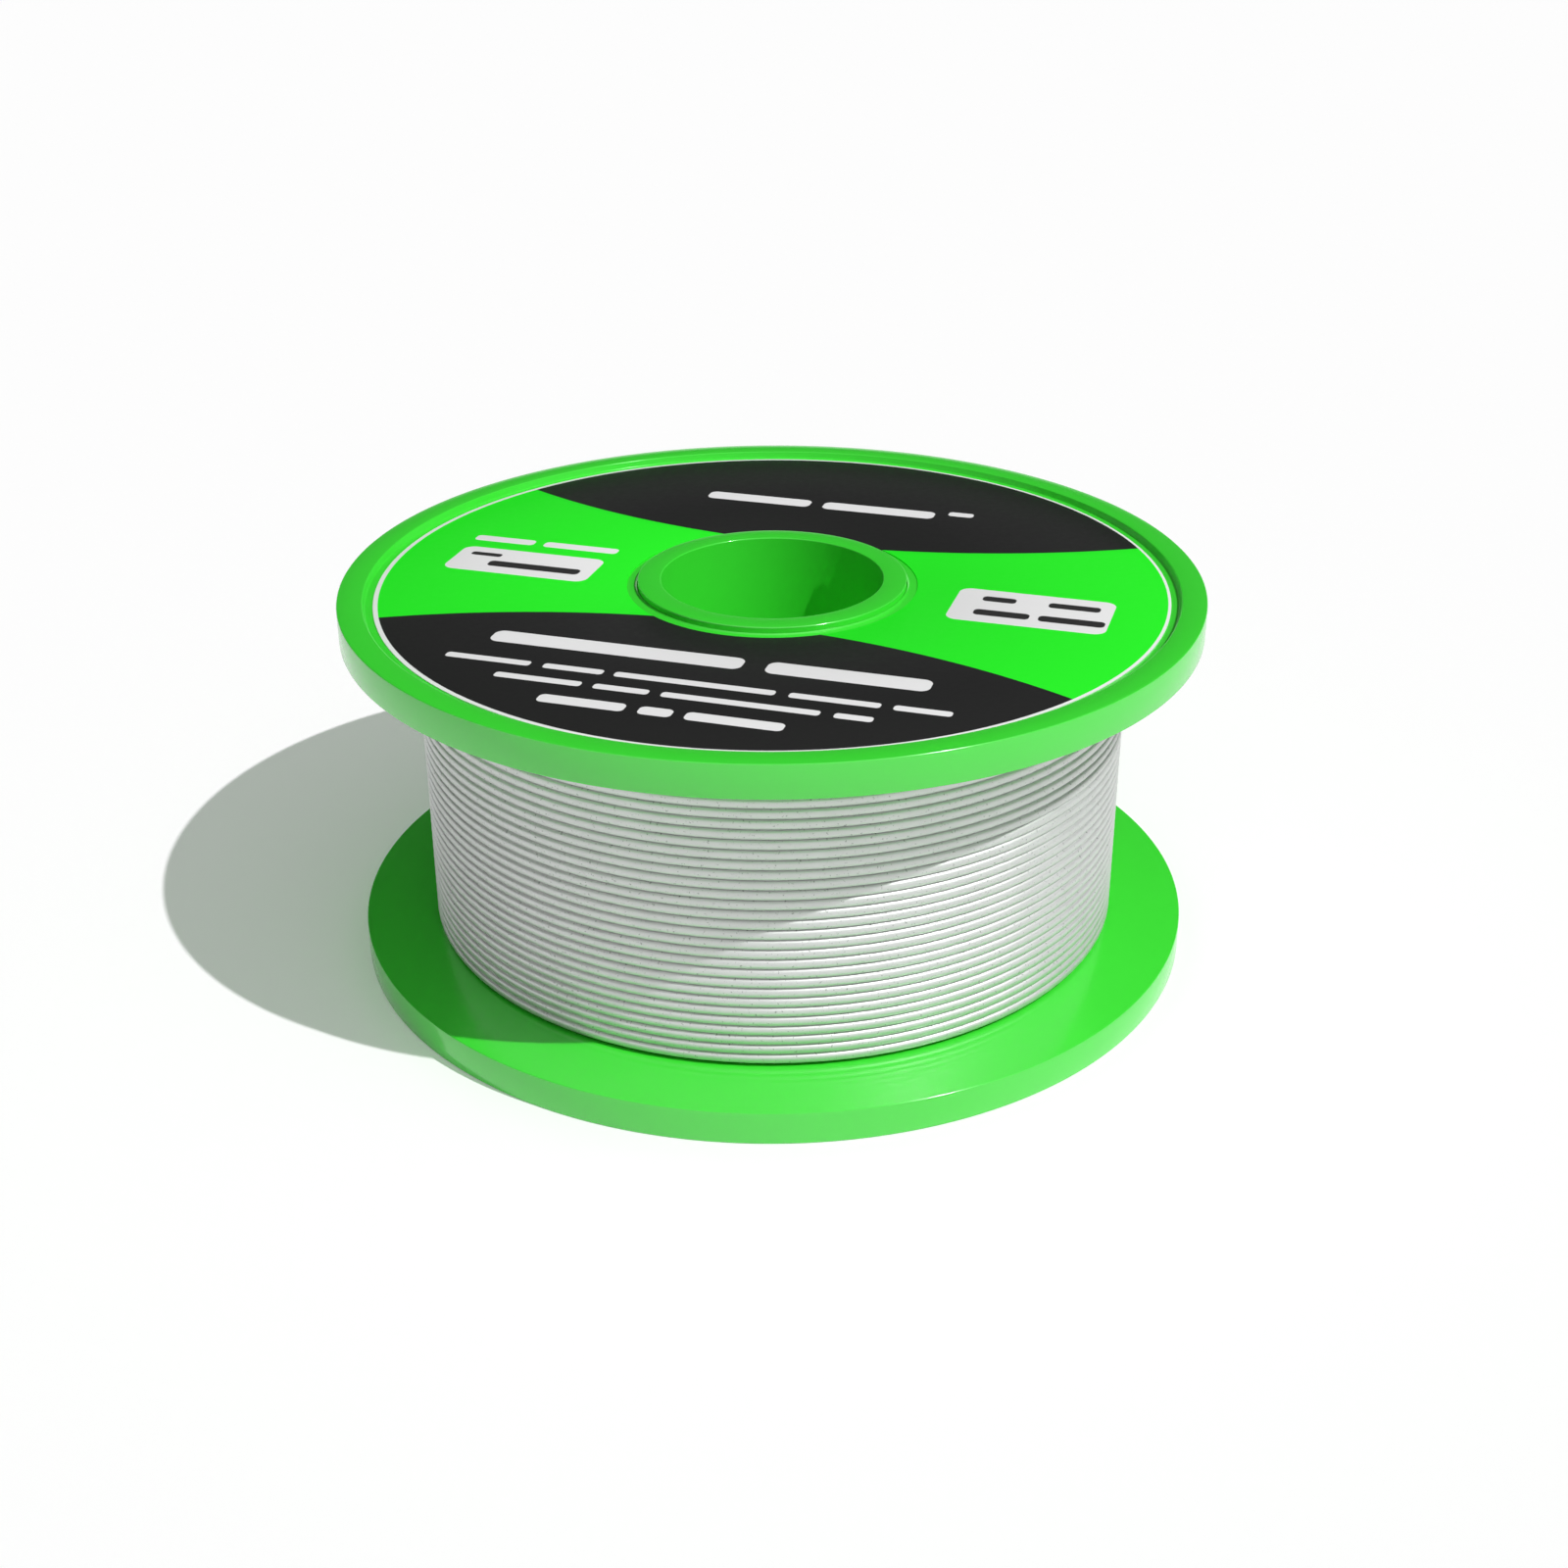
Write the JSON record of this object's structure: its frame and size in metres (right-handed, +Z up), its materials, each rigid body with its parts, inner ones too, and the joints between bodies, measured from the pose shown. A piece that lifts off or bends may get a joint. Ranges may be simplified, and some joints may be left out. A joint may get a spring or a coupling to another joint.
{
  "type": "solder wire spool",
  "caption": "Spool of cored solder wire: two flat moulded flanges on a bore tube, a close-wound drum of wire between them, and a printed ring label in the upper flange.",
  "frame": {"origin": "bottom centre of the lower flange, on the bore's axis", "axes": "+Z up along the bore towards the labelled flange; -Y is the side the label's face is read from, turned about 17 degrees"},
  "size_m": [0.088, 0.088, 0.039],
  "materials": {
    "spool_plastic": "satin",
    "solder": "satin",
    "flux": "gloss",
    "label_paper": "satin"
  },
  "bodies": {
    "root": {"lower_flange": "spool_plastic", "upper_flange": "spool_plastic", "winding_barrel": "spool_plastic", "bore_tube": "spool_plastic", "inner_winding": "solder", "outer_turns": "solder", "flux_core": "flux", "front_label": "label_paper"}
  },
  "joints": []
}
